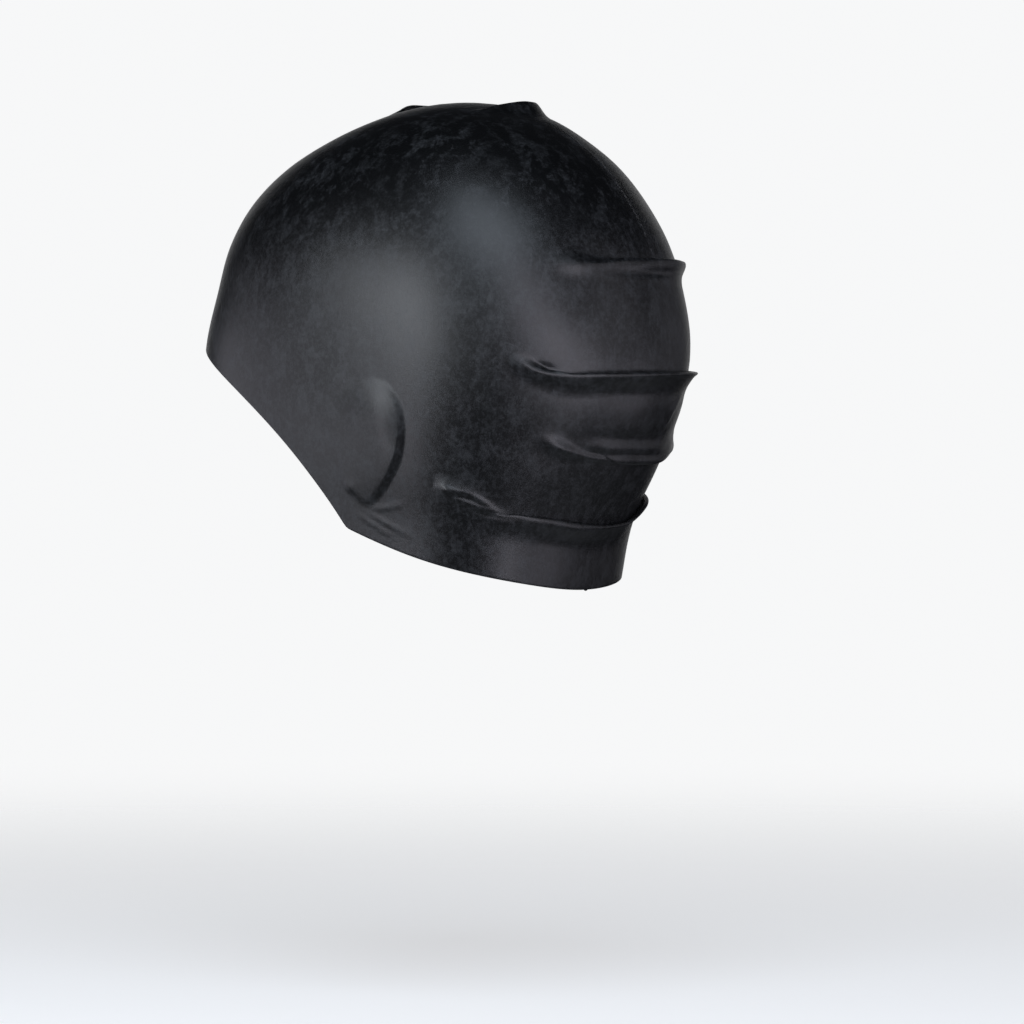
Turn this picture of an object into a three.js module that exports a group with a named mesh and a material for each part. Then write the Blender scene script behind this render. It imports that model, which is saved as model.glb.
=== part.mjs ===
// A moulded rubber swim cap, in the shape that a head gives it.
// Millimetres, +Z up. The forehead faces -Y and the wearer's left is +X.
// The origin is the inner face of the crown, where the head bears on the cap.
// A bearing is an angle round the head, in degrees: 0 at the nape, 90 at the
// wearer's left ear, 180 at the forehead. A drop is a depth below the crown.
import * as THREE from 'three';

// Rubber
const WALL = 1.0;
const RIM_ROUND = 0.25;

// The head that the cap fits, measured on the outer face
const NAPE_DROP = 194;
const FRONT_REACH = 110;
const BACK_REACH = 90.4;
const HALF_WIDTH = 77.2;

// The rim's other two heights, and where it turns in front of the ear
const FOREHEAD_DROP = 94.5;
const EAR_CORNER_DROP = 169;
const EAR_CORNER_BEARING = 104;
const FRONT_EDGE_BEND = 2.2;
const NAPE_EDGE_BEND = 2.2;
const CORNER_SOFTNESS = 0.6;

// The bulge over each ear
const EAR_DROP = 134;
const EAR_FORWARD = 3;
const EAR_HALF_LENGTH = 16;
const EAR_HALF_HEIGHT = 25;
const EAR_HEIGHT = 5.5;
const LOBE_HEIGHT = 1.8;

// The ear's form in shares of its half length and half height. Back and low
// are measured from its middle, and ring is the two together. The crest has an
// outer slope, and an inner one that is wider at the top than at the lobe.
const EAR_FORM = {
  crestRing: 0.76,
  outerSlope: 0.27,
  innerSlopeTop: 0.60,
  innerSlopeLow: 0.34,
  crestFromBack: -0.8,
  crestFullBack: 0.5,
  swelling: 0.4,
  swellingFromRing: 1.1,
  swellingFullRing: 0.2,
  lobeBack: -0.6,
  lobeLow: 0.72,
  lobeWidth: 0.36,
  lobeFlat: 1.5,
};

// The cross folds: the rubber laps over itself, stands off and comes back
const FOLD_LAP = 3.2;
const FOLD_FACE = 13;
const FOLD_STAND = 3.8;

// Horizontal sections at equal polar steps from the crown to the nape's drop.
// Front, side and back are shares of the reaches. Square is the section's
// exponent, 2 for an ellipse.
const SECTIONS = [
  { front: 0.000, side: 0.000, back: 0.000, squareFront: 2.00, squareBack: 2.00 },
  { front: 0.160, side: 0.228, back: 0.197, squareFront: 2.00, squareBack: 2.00 },
  { front: 0.322, side: 0.440, back: 0.371, squareFront: 2.02, squareBack: 2.02 },
  { front: 0.505, side: 0.602, back: 0.522, squareFront: 2.06, squareBack: 2.05 },
  { front: 0.678, side: 0.745, back: 0.673, squareFront: 2.12, squareBack: 2.08 },
  { front: 0.808, side: 0.859, back: 0.795, squareFront: 2.20, squareBack: 2.12 },
  { front: 0.892, side: 0.939, back: 0.898, squareFront: 2.26, squareBack: 2.15 },
  { front: 0.938, side: 0.984, back: 0.966, squareFront: 2.30, squareBack: 2.15 },
  { front: 0.988, side: 1.000, back: 1.000, squareFront: 2.30, squareBack: 2.15 },
  { front: 1.000, side: 0.991, back: 0.961, squareFront: 2.30, squareBack: 2.15 },
  { front: 0.975, side: 0.952, back: 0.832, squareFront: 2.30, squareBack: 2.22 },
  { front: 0.945, side: 0.890, back: 0.667, squareFront: 2.30, squareBack: 2.40 },
  { front: 0.915, side: 0.840, back: 0.596, squareFront: 2.30, squareBack: 2.50 },
];

// The folds, in bands from the crown down. Line is the lip's drop as a share of
// the rim's drop. Rise is how far the line climbs, also a share, between the
// bearings riseFrom and riseTo on both sides. Lap, face and stand are shares of
// the fold sizes above. Turn is 1 where the lip points up and -1 where it points
// down. Each fold of a band fades out left and right of its middle bearing, and
// tall is its share of the band's stand. Round is 0 for a sharp lip. Only some
// of a band's rows, insideRows, go on to the inner face, which has no folds.
const BANDS = [
  {
    line: 0.0145, rise: -0.006, riseFrom: 10, riseTo: 60,
    lap: 0.25, face: 0.62, stand: 0.95, turn: 1, round: 1, insideRows: 2,
    folds: [
      { middle: 12, left: 46, right: 44, tall: 1.0 },
      { middle: -168, left: 34, right: 36, tall: 1.0 },
    ],
  },
  {
    line: 0.327, rise: -0.012, riseFrom: 22, riseTo: 44,
    lap: 0.40, face: 0.66, stand: 0.84, turn: 1, round: 1, insideRows: 2,
    folds: [{ middle: -4, left: 44, right: 48, tall: 1.0 }],
  },
  {
    line: 0.551, rise: 0.022, riseFrom: 32, riseTo: 50,
    lap: 0.90, face: 0.62, stand: 1.00, turn: 1, round: 0, insideRows: 3,
    folds: [{ middle: 0, left: 50, right: 46, tall: 1.0 }],
  },
  {
    line: 0.739, rise: 0.040, riseFrom: 8, riseTo: 42,
    lap: 0.40, face: 0.95, stand: 0.62, turn: -1, round: 1, insideRows: 4,
    folds: [{ middle: -2, left: 42, right: 44, tall: 1.0 }],
  },
  {
    line: 0.866, rise: 0.044, riseFrom: 36, riseTo: 66,
    lap: 1.10, face: 0.92, stand: 0.84, turn: 1, round: 0.8, insideRows: 4,
    folds: [{ middle: 2, left: 66, right: 58, tall: 1.0 }],
  },
];

// One fold's path over the surface, from above the lip to the foot of its
// face. Down is a share of the lap above the lip's edge and of the face below
// it. Out is a share of the stand, for a sharp and for a round fold.
const LIP_INSIDE = [
  { down: -1.5, sharp: 0.00, round: 0.00 },
  { down: 0.1, sharp: -0.04, round: -0.02 },
  { down: 0.95, sharp: 0.02, round: 0.03 },
  { down: 1.0, sharp: 0.17, round: 0.20 },
  { down: 0.35, sharp: 0.38, round: 0.36 },
];
const LIP_FACE = [
  { down: 0.00, sharp: 0.74, round: 0.58 },
  { down: 0.07, sharp: 1.00, round: 0.82 },
  { down: 0.34, sharp: 0.68, round: 1.00 },
  { down: 0.66, sharp: 0.24, round: 0.52 },
  { down: 1.00, sharp: 0.00, round: 0.00 },
];

// The grid: columns round the head, and plain rows before, between and after
// the bands of fold rows
const COLUMNS_BEHIND_CORNER = 22;
const COLUMNS_AHEAD_OF_CORNER = 9;
const PLAIN_ROWS = [1, 6, 4, 1, 1, 2];
const CLOSER_COLUMNS = [
  { bearing: 87, width: 20, extra: 2.2 },
  { bearing: 0, width: 50, extra: 0.4 },
];
const BEARING_STEP = 0.5;

// Shares of the half width between which the sides of the head begin, of the
// rim's drop below which a band follows the rim, and of a fold's reach in
// which it fades
const SIDE_OF_HEAD = [0.3, 0.8];
const CROWN_SHARE = 0.3;
const FADE = 0.55;

const STEPS = SECTIONS.length - 1;
const DEGREE = Math.PI / 180;
const NUDGE = 0.01;

const mix = (a, b, share) => a + (b - a) * share;
const clamp = (value) => Math.min(1, Math.max(0, value));
const smooth = (value) => clamp(value) ** 2 * (3 - 2 * clamp(value));
const bump = (distance, width) => Math.exp(-((distance / width) ** 2));
const between = (value, none, full) => smooth((value - none) / (full - none));

// The signed turn from one bearing to another, from -180 to 180
const turnTo = (from, to) => ((((to - from) % 360) + 540) % 360) - 180;

// A smooth curve through one column of the sections. Reaches change sign
// through the crown, and exponents don't.
function sectionValue(name, step, signAtCrown) {
  const at = Math.min(Math.max(step, 0), STEPS - 1e-9);
  const row = Math.floor(at);
  const f = at - row;
  const value = (index) => {
    if (index < 0) return signAtCrown * SECTIONS[-index][name];
    if (index > STEPS) return 2 * SECTIONS[STEPS][name] - SECTIONS[STEPS - 1][name];
    return SECTIONS[index][name];
  };
  const [a, b, c, d] = [value(row - 1), value(row), value(row + 1), value(row + 2)];
  const slope = c - a;
  const square = 2 * a - 5 * b + 4 * c - d;
  const cube = 3 * b - a - 3 * c + d;
  return 0.5 * (2 * b + slope * f + square * f * f + cube * f ** 3);
}

const dropAt = (step) => NAPE_DROP * (1 - Math.cos((Math.PI / 2) * (step / STEPS)));
const stepAt = (drop) => (2 / Math.PI) * STEPS * Math.acos(1 - drop / NAPE_DROP);

// The outer face of the bare dome
function domePoint(step, bearing) {
  const angle = bearing * DEGREE;
  const forward = smooth((1 - Math.cos(angle)) / 2);
  const front = FRONT_REACH * sectionValue('front', step, -1);
  const back = BACK_REACH * sectionValue('back', step, -1);
  const side = HALF_WIDTH * sectionValue('side', step, -1);
  const reach = mix(back, front, forward);
  const squareFront = sectionValue('squareFront', step, 1);
  const squareBack = sectionValue('squareBack', step, 1);
  const square = mix(squareBack, squareFront, forward);
  if (reach <= 0) return new THREE.Vector3(0, 0, WALL);
  const along = Math.abs(Math.cos(angle) / reach) ** square;
  const across = Math.abs(Math.sin(angle) / side) ** square;
  const radius = (along + across) ** (-1 / square);
  const x = radius * Math.sin(angle);
  const y = radius * Math.cos(angle);
  return new THREE.Vector3(x, y, WALL - dropAt(step));
}

function domeNormal(step, bearing) {
  if (step < NUDGE) return new THREE.Vector3(0, 0, 1);
  const down = domePoint(step + NUDGE, bearing).sub(domePoint(step - NUDGE, bearing));
  const round = domePoint(step, bearing + NUDGE).sub(domePoint(step, bearing - NUDGE));
  return round.cross(down).normalize();
}

// Millimetres of surface in one step
function stepLength(step, bearing) {
  const low = Math.max(step - NUDGE, 0);
  const high = step + NUDGE;
  return domePoint(high, bearing).distanceTo(domePoint(low, bearing)) / (high - low);
}

// The rim: one curve over the forehead, one round the nape, and the lesser
// drop of the two with a soft corner where they meet
function rimDrop(bearing) {
  const turn = Math.abs(turnTo(0, bearing));
  const fromFront = (180 - turn) / (180 - EAR_CORNER_BEARING);
  const fromNape = turn / EAR_CORNER_BEARING;
  const frontDrop = mix(FOREHEAD_DROP, EAR_CORNER_DROP, fromFront ** FRONT_EDGE_BEND);
  const napeDrop = mix(NAPE_DROP, EAR_CORNER_DROP, fromNape ** NAPE_EDGE_BEND);
  const gap = (napeDrop - frontDrop) / CORNER_SOFTNESS;
  const lesser = Math.min(frontDrop, napeDrop);
  return lesser - CORNER_SOFTNESS * Math.log1p(Math.exp(-Math.abs(gap)));
}

// How far an ear pushes a face of the rubber out: a crest along the back of the
// ear, steep behind it and broad in front, on a low swelling, with the lobe
// below. Inset is the face's depth in the rubber.
function earHeight(step, bearing, inset) {
  const point = domePoint(step, bearing);
  const back = (point.y + EAR_FORWARD) / (EAR_HALF_LENGTH - inset);
  const low = (WALL - point.z - EAR_DROP) / (EAR_HALF_HEIGHT - inset);
  const form = EAR_FORM;
  const ring = Math.hypot(back, low);
  const innerSlope = mix(form.innerSlopeTop, form.innerSlopeLow, smooth((low + 1) / 2));
  const slope = ring > form.crestRing ? form.outerSlope : innerSlope;
  const atBack = between(back, form.crestFromBack, form.crestFullBack);
  const crest = bump(ring - form.crestRing, slope) * atBack;
  const swelling = form.swelling * between(ring, form.swellingFromRing, form.swellingFullRing);
  const toLobe = Math.hypot(back - form.lobeBack, (low - form.lobeLow) * form.lobeFlat);
  const lobe = bump(toLobe, form.lobeWidth);
  const height = EAR_HEIGHT * Math.max(crest, swelling) + LOBE_HEIGHT * lobe;
  return height * between(Math.abs(point.x) / HALF_WIDTH, ...SIDE_OF_HEAD);
}

// A band's line follows the rim, apart from the crown, where it is level
const followsRim = (band) => clamp(band.line / CROWN_SHARE);

function lineDrop(band, bearing) {
  const turn = Math.abs(turnTo(0, bearing));
  const risen = between(turn, band.riseFrom, band.riseTo);
  const share = band.line - band.rise * risen;
  return share * mix(NAPE_DROP, rimDrop(bearing), followsRim(band));
}

// How much of a fold there is at a bearing, from 0 past its ends to 1
function foldShare(fold, bearing) {
  const turn = turnTo(fold.middle, bearing);
  const reach = turn > 0 ? fold.left : fold.right;
  return fold.tall * smooth((1 - Math.abs(turn) / reach) / FADE);
}

// A band's fold rows: where each lies when the rubber is flat, how far down it
// goes in the fold, and how far out
function foldRows(band) {
  const lap = band.lap * FOLD_LAP;
  const face = band.face * FOLD_FACE;
  const stand = band.stand * FOLD_STAND;
  const out = (row) => stand * mix(row.sharp, row.round, band.round);
  const inside = LIP_INSIDE.map((row) => ({ down: row.down * lap, out: out(row) }));
  const outside = LIP_FACE.map((row) => ({ down: row.down * face, out: out(row) }));
  const rows = [...inside, ...outside];
  if (band.turn < 0) {
    rows.reverse();
    rows.forEach((row) => { row.down *= -1; });
  }
  const first = rows[0].down;
  const last = rows[rows.length - 1].down;
  const spread = (index) => mix(first, last, index / (rows.length - 1));
  return rows.map((row, index) => ({ ...row, flat: spread(index) }));
}

// The step that lies so many millimetres below a band's line. The millimetres
// shrink towards the forehead, where the rim is nearer to the crown.
function stepBelowLine(band, bearing, distance) {
  const line = stepAt(lineDrop(band, bearing));
  const squeeze = mix(1, rimDrop(bearing) / NAPE_DROP, followsRim(band));
  return line + (distance * squeeze) / stepLength(line, bearing);
}

// The rows of a band at a bearing
function bandRows(band, bearing) {
  const shares = band.folds.map((fold) => foldShare(fold, bearing));
  const share = shares.reduce((sum, one) => sum + one, 0);
  const rows = foldRows(band);
  const stride = (rows.length - 1) / (band.insideRows - 1);
  return rows.map(({ flat, down, out }, index) => ({
    flat: stepBelowLine(band, bearing, flat),
    step: stepBelowLine(band, bearing, mix(flat, down, share)),
    out: share * out,
    onInside: Math.round(Math.round(index / stride) * stride) === index,
  }));
}

// All rows of a column, from the crown's first ring to the rim
function columnRows(bearing) {
  const rim = stepAt(rimDrop(bearing));
  const rows = [];
  let from = 0;
  PLAIN_ROWS.forEach((count, index) => {
    const band = BANDS[index] ? bandRows(BANDS[index], bearing) : [];
    const to = band.length > 0 ? band[0].flat : rim;
    const parts = band.length > 0 ? count + 1 : count;
    for (let row = 1; row <= count; row += 1) {
      const step = mix(from, to, row / parts);
      rows.push({ flat: step, step, out: 0, onInside: true });
    }
    rows.push(...band);
    from = rows[rows.length - 1].flat;
  });
  return rows;
}

// A point of the rubber, ears included: out from the outer face by a fold, and
// in by the inset
function skinPoint(step, bearing, out, inset) {
  const height = out + earHeight(step, bearing, inset) - inset;
  return domePoint(step, bearing).addScaledVector(domeNormal(step, bearing), height);
}

// Bearings from one to another, closer together over the ears and at the back
function spreadBearings(from, to, count) {
  const weight = (bearing) => CLOSER_COLUMNS.reduce(
    (sum, one) => sum + one.extra * bump(bearing - one.bearing, one.width),
    1,
  );
  const spots = [from];
  const sums = [0];
  while (spots.at(-1) < to) {
    const next = Math.min(spots.at(-1) + BEARING_STEP, to);
    sums.push(sums.at(-1) + weight(next) * (next - spots.at(-1)));
    spots.push(next);
  }
  const bearings = [];
  for (let column = 0; column < count; column += 1) {
    const wanted = (sums.at(-1) * column) / count;
    bearings.push(spots[sums.findIndex((sum) => sum >= wanted)]);
  }
  return bearings;
}

// Bearings of all columns, with one at each corner of the rim
function columnBearings() {
  const behind = spreadBearings(0, EAR_CORNER_BEARING, COLUMNS_BEHIND_CORNER);
  const ahead = spreadBearings(EAR_CORNER_BEARING, 180, COLUMNS_AHEAD_OF_CORNER);
  const half = [...behind, ...ahead];
  const mirrored = half.slice(1).reverse().map((bearing) => -bearing);
  return [...half, 180, ...mirrored];
}

// The closed shell: outer rings, the rounded rim, inner rings, and a fan at
// each pole
function capGeometry() {
  const bearings = columnBearings();
  const columns = bearings.map((bearing) => {
    const rows = columnRows(bearing);
    const rim = stepAt(rimDrop(bearing));
    const edge = rim - RIM_ROUND / stepLength(rim, bearing);
    const outer = rows.map(({ step, out }) => skinPoint(Math.min(step, edge), bearing, out, 0));
    const inner = rows.filter((row) => row.onInside).reverse();
    const inside = inner.map(({ flat }) => skinPoint(Math.min(flat, edge), bearing, 0, WALL));
    return [...outer, skinPoint(rim, bearing, 0, WALL / 2), ...inside];
  });
  const points = [];
  const rings = columns[0].length;
  const width = columns.length;
  columns.forEach((column) => column.forEach((point) => points.push(point)));
  const at = (column, ring) => (column % width) * rings + ring;
  const top = points.push(new THREE.Vector3(0, 0, WALL)) - 1;
  const underTop = points.push(new THREE.Vector3(0, 0, 0)) - 1;
  const faces = [];
  for (let column = 0; column < width; column += 1) {
    faces.push(top, at(column + 1, 0), at(column, 0));
    for (let ring = 0; ring < rings - 1; ring += 1) {
      const corner = at(column, ring);
      const beside = at(column + 1, ring);
      faces.push(corner, beside, corner + 1);
      faces.push(beside, beside + 1, corner + 1);
    }
    faces.push(underTop, at(column, rings - 1), at(column + 1, rings - 1));
  }
  const geometry = new THREE.BufferGeometry().setFromPoints(points);
  geometry.setIndex(faces);
  geometry.computeVertexNormals();
  return geometry;
}

const rubber = new THREE.MeshStandardMaterial({
  name: 'black_rubber',
  color: 0x24262a,
  roughness: 0.55,
  metalness: 0,
});

const shell = new THREE.Mesh(capGeometry(), rubber);
shell.name = 'cap_shell';

const group = new THREE.Group();
group.add(shell);

export default group;
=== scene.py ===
import math

import bpy
import numpy as np
from mathutils import Matrix, Vector


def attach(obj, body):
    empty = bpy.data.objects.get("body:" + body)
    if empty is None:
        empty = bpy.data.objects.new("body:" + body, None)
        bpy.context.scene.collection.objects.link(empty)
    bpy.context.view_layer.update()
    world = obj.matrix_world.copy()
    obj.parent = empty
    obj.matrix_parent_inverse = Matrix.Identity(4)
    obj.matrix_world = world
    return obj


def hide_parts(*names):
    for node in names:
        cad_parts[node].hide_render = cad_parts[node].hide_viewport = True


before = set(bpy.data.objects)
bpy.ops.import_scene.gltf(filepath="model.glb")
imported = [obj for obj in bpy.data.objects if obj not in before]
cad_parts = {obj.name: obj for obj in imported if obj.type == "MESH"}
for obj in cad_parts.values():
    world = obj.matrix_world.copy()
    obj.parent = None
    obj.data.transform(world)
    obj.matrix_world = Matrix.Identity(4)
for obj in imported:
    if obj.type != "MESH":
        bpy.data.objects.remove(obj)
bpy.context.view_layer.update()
MM = 0.001

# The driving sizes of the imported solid
WALL = 1.0
NAPE_DROP = 194
FRONT_REACH = 110
BACK_REACH = 90.4
HALF_WIDTH = 77.2
FOREHEAD_DROP = 94.5
EAR_CORNER_DROP = 169
EAR_CORNER_BEARING = 104
FRONT_EDGE_BEND = 2.2
NAPE_EDGE_BEND = 2.2
CORNER_SOFTNESS = 0.6

# Horizontal sections at equal polar steps, as shares of the reaches. Square is
# the section's exponent, 2 for an ellipse.
SECTIONS = {
    "front": (0.000, 0.160, 0.322, 0.505, 0.678, 0.808, 0.892, 0.938, 0.988, 1.000, 0.975, 0.945, 0.915),
    "side": (0.000, 0.228, 0.440, 0.602, 0.745, 0.859, 0.939, 0.984, 1.000, 0.991, 0.952, 0.890, 0.840),
    "back": (0.000, 0.197, 0.371, 0.522, 0.673, 0.795, 0.898, 0.966, 1.000, 0.961, 0.832, 0.667, 0.596),
    "square_front": (2.00, 2.00, 2.02, 2.06, 2.12, 2.20, 2.26, 2.30, 2.30, 2.30, 2.30, 2.30, 2.30),
    "square_back": (2.00, 2.00, 2.02, 2.05, 2.08, 2.12, 2.15, 2.15, 2.15, 2.15, 2.22, 2.40, 2.50),
}
STEPS = len(SECTIONS["front"]) - 1

# The folds, in bands from the crown down. Share is the lip's drop as a share of
# the rim's drop where the band is flat, and line gives the lip's drops at
# bearings where the rubber is folded. Lap, face and stand are in millimetres.
# Turn is 1 where the lip points up and -1 where it points down. Each fold fades
# out left and right of its middle bearing, over the fade share of that reach.
# Round is 0 for a sharp lip.
BANDS = [
    {
        "share": 0.018, "line": [],
        "lap": 0.8, "face": 9.0, "stand": 4.2, "turn": 1, "round": 1.0,
        "folds": [(-7, 72, 70), (-162, 56, 54)], "fade": 0.9,
    },
    {
        "share": 0.327,
        "line": [(-60, 65.8), (-21, 64.2), (-5, 63.8), (15, 63.8), (25, 64.0), (34, 64.4), (60, 66.0)],
        "lap": 1.3, "face": 9.6, "stand": 3.0, "turn": 1, "round": 0.6,
        "folds": [(-24, 62, 32)], "fade": 0.8,
    },
    {
        "share": 0.551,
        "line": [
            (-60, 104.6), (-30, 107.0), (-13, 107.5), (13, 107.9), (26, 108.1), (37, 107.9),
            (44, 104.8), (60, 99.0),
        ],
        "lap": 2.9, "face": 10.0, "stand": 3.8, "turn": 1, "round": 0.0,
        "folds": [(0, 50, 46)], "fade": 0.55,
    },
    {
        "share": 0.739,
        "line": [
            (-60, 131.5), (-29, 139.0), (-17, 142.9), (-3, 143.8), (9, 143.7), (20, 142.6),
            (28, 140.4), (34, 137.6), (40, 134.0), (60, 124.5),
        ],
        "lap": 1.3, "face": 12.6, "stand": 2.3, "turn": -1, "round": 1.0,
        "folds": [(-24, 54, 32)], "fade": 0.8,
    },
    {
        "share": 0.866,
        "line": [
            (-75, 151.0), (-60, 153.0), (-48, 155.5), (-32, 160.0), (-26, 163.2), (-19, 165.8),
            (-9, 167.0), (4, 167.4), (16, 166.8), (35, 164.6), (41, 164.0), (48, 162.7),
            (54, 161.6), (61, 158.6), (70, 153.0), (80, 147.0),
        ],
        "lap": 3.3, "face": 12.0, "stand": 3.3, "turn": 1, "round": 0.3,
        "folds": [(-10, 74, 52)], "fade": 0.6,
    },
]

# From this share on, a band follows the rim in full, and above it less
CROWN_SHARE = 0.3

# Bearings either side of the nape between which a folded line turns into a flat one
LINE_HOLDS = 58
LINE_ENDS = 84

# One fold's path over the surface, from above the lip to the foot of its face:
# down is a share of the lap above the lip's edge and of the face below it, and
# out is a share of the stand, for a sharp and for a round fold
LIP_INSIDE = [
    (-1.50, 0.00, 0.00), (0.10, -0.04, -0.02), (0.95, 0.02, 0.03), (1.00, 0.17, 0.20), (0.35, 0.38, 0.36),
]
LIP_FACE = [
    (0.00, 0.78, 0.66), (0.06, 1.00, 0.88), (0.20, 0.66, 0.95), (0.38, 0.40, 0.72), (0.58, 0.18, 0.38),
    (0.80, 0.05, 0.11), (1.00, 0.00, 0.00),
]

# How much faster a fold's lip closes than it rises, towards the fold's ends
CLOSES = 2.2

# How much rounder a fold is towards its left end, between these bearings
ROUNDER = 0.7
ROUNDER_BETWEEN = (-12, 26)

# The grid: rows in each fold, plain rows before, between and after the bands,
# rows of the inner face, and how densely the columns stand at certain bearings.
# Past the bearings of the folds all rows are evenly spaced.
FOLD_ROWS = 30
PLAIN_ROWS = (3, 34, 18, 12, 9, 13)
EVEN_ROWS_FROM = (72, 79)
INNER_ROWS = 26
COLUMN_DENSITY = [
    (-180, 0.42), (-120, 0.5), (-104, 1.0), (-84, 1.8), (-74, 1.3), (-60, 1.0), (-30, 0.8),
    (0, 0.75), (25, 0.9), (32, 1.5), (70, 1.5), (76, 2.4), (86, 2.4), (96, 1.7), (108, 1.1),
    (125, 0.5), (180, 0.42),
]
COLUMNS = 342
SEAM_COLUMNS = (-0.34, -0.16, 0.0, 0.16, 0.34)
SEAM_CLEARANCE = 0.7
BEARING_SAMPLES = 7201

# The rim's rounded edge: how high it starts above the rim, and rows across it
# as shares of the way down and of the wall's way in
EDGE_HEIGHT = 0.3
EDGE_ROWS = [(0.6, 0.06), (1.0, 0.3), (1.0, 0.7), (0.6, 0.94)]

# A small step or bearing, to measure slopes and lengths with
NUDGE = 0.01


def mix(a, b, share):
    return a + (b - a) * share


def smooth(value):
    value = np.clip(value, 0, 1)
    return value * value * (3 - 2 * value)


def between(value, none, full):
    return smooth((value - none) / (full - none))


def bump(distance, width):
    return np.exp(-((distance / width) ** 2))


def turn_to(start, end):
    """The signed turn from one bearing to another, from -180 to 180."""
    return (end - start + 180) % 360 - 180


def curve(places, values, at):
    """A smooth curve through the values at the places, level past both ends."""
    places, values = np.asarray(places, float), np.asarray(values, float)
    at = np.clip(at, places[0], places[-1])
    slopes = np.gradient(values, places)
    low = np.clip(np.searchsorted(places, at, side="right") - 1, 0, len(places) - 2)
    width = places[low + 1] - places[low]
    t = (at - places[low]) / width
    start = (1 + 2 * t) * (1 - t) ** 2 * values[low] + t * (1 - t) ** 2 * width * slopes[low]
    end = t * t * (3 - 2 * t) * values[low + 1] + t * t * (t - 1) * width * slopes[low + 1]
    return start + end


def section(name, step, sign_at_crown):
    """One column of the sections at a step. Reaches change sign through the crown."""
    column = np.array(SECTIONS[name])
    column = np.concatenate([[sign_at_crown * column[1]], column, [2 * column[-1] - column[-2]]])
    at = np.clip(step, 0, STEPS - 1e-9)
    row = np.floor(at).astype(int)
    f = at - row
    a, b, c, d = (column[row + k] for k in range(4))
    return 0.5 * (2 * b + (c - a) * f + (2 * a - 5 * b + 4 * c - d) * f**2 + (3 * b - a - 3 * c + d) * f**3)


def drop_at(step):
    return NAPE_DROP * (1 - np.cos(np.pi / 2 * step / STEPS))


def step_at(drop):
    return 2 / np.pi * STEPS * np.arccos(1 - drop / NAPE_DROP)


def dome_point(step, bearing):
    """The outer face of the bare dome."""
    step, angle = np.broadcast_arrays(step, np.radians(bearing))
    forward = smooth((1 - np.cos(angle)) / 2)
    front = FRONT_REACH * section("front", step, -1)
    back = BACK_REACH * section("back", step, -1)
    side = np.maximum(HALF_WIDTH * section("side", step, -1), 1e-6)
    reach = np.maximum(mix(back, front, forward), 1e-6)
    square = mix(section("square_back", step, 1), section("square_front", step, 1), forward)
    along = np.abs(np.cos(angle) / reach) ** square
    across = np.abs(np.sin(angle) / side) ** square
    radius = (along + across) ** (-1 / square)
    return np.stack([radius * np.sin(angle), radius * np.cos(angle), WALL - drop_at(step)], -1)


def dome_normal(step, bearing):
    step = np.maximum(step, NUDGE)
    down = dome_point(step + NUDGE, bearing) - dome_point(step - NUDGE, bearing)
    around = dome_point(step, bearing + NUDGE) - dome_point(step, bearing - NUDGE)
    normal = np.cross(around, down)
    return normal / np.linalg.norm(normal, axis=-1, keepdims=True)


def step_length(step, bearing):
    """Millimetres of surface in one step."""
    low = np.maximum(step - NUDGE, 0)
    span = dome_point(step + NUDGE, bearing) - dome_point(low, bearing)
    return np.linalg.norm(span, axis=-1) / (step + NUDGE - low)


def rim_drop(bearing):
    """The rim: one curve over the forehead, one round the nape, and the lesser drop of the two."""
    turn = np.abs(turn_to(0, bearing))
    from_front = np.maximum(180 - turn, 0) / (180 - EAR_CORNER_BEARING)
    from_nape = turn / EAR_CORNER_BEARING
    front = mix(FOREHEAD_DROP, EAR_CORNER_DROP, from_front**FRONT_EDGE_BEND)
    nape = mix(NAPE_DROP, EAR_CORNER_DROP, from_nape**NAPE_EDGE_BEND)
    gap = np.abs(nape - front) / CORNER_SOFTNESS
    return np.minimum(front, nape) - CORNER_SOFTNESS * np.log1p(np.exp(-gap))


def follows_rim(band):
    """How far a band's line follows the rim, from 0 at the crown, where it is level."""
    return min(1, band["share"] / CROWN_SHARE)


def line_drop(band, bearing):
    flat = band["share"] * mix(NAPE_DROP, rim_drop(bearing), follows_rim(band))
    if not band["line"]:
        return flat
    places, drops = zip(*band["line"])
    folded = curve(places, drops, bearing)
    return mix(folded, flat, between(np.abs(bearing), LINE_HOLDS, LINE_ENDS))


def fold_share(band, bearing):
    """How much of a band's folds there is at a bearing, from 0 past their ends to 1."""
    total = 0
    for middle, left, right in band["folds"]:
        turn = turn_to(middle, bearing)
        reach = np.where(turn > 0, left, right)
        total = total + smooth((1 - np.abs(turn) / reach) / band["fade"])
    return total


def fold_path(band, bearing):
    """The fold's rows: flat places, places in the fold, and heights, in millimetres."""
    rows = [(down * band["lap"], sharp, soft) for down, sharp, soft in LIP_INSIDE]
    rows += [(down * band["face"], sharp, soft) for down, sharp, soft in LIP_FACE]
    down, sharp, soft = np.array(rows).T
    if band["turn"] < 0:
        down, sharp, soft = -down[::-1], sharp[::-1], soft[::-1]
    knots = np.arange(len(rows))
    at = np.linspace(0, len(rows) - 1, FOLD_ROWS)
    flat = mix(down[0], down[-1], at / at[-1])
    softness = np.clip(band["round"] + ROUNDER * between(bearing, *ROUNDER_BETWEEN), 0, 1)
    out = mix(curve(knots, sharp, at)[:, None], curve(knots, soft, at)[:, None], softness)
    return flat[:, None], curve(knots, down, at)[:, None], out * band["stand"]


def band_rows(band, bearing):
    """Flat steps, folded steps and heights of a band's rows in every column."""
    line = step_at(line_drop(band, bearing))
    squeeze = mix(1, rim_drop(bearing) / NAPE_DROP, follows_rim(band)) / step_length(line, bearing)
    flat, down, out = fold_path(band, bearing)
    share = fold_share(band, bearing)
    closed = smooth(CLOSES * share)
    return line + flat * squeeze, line + mix(flat, down, closed) * squeeze, share * out


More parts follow.
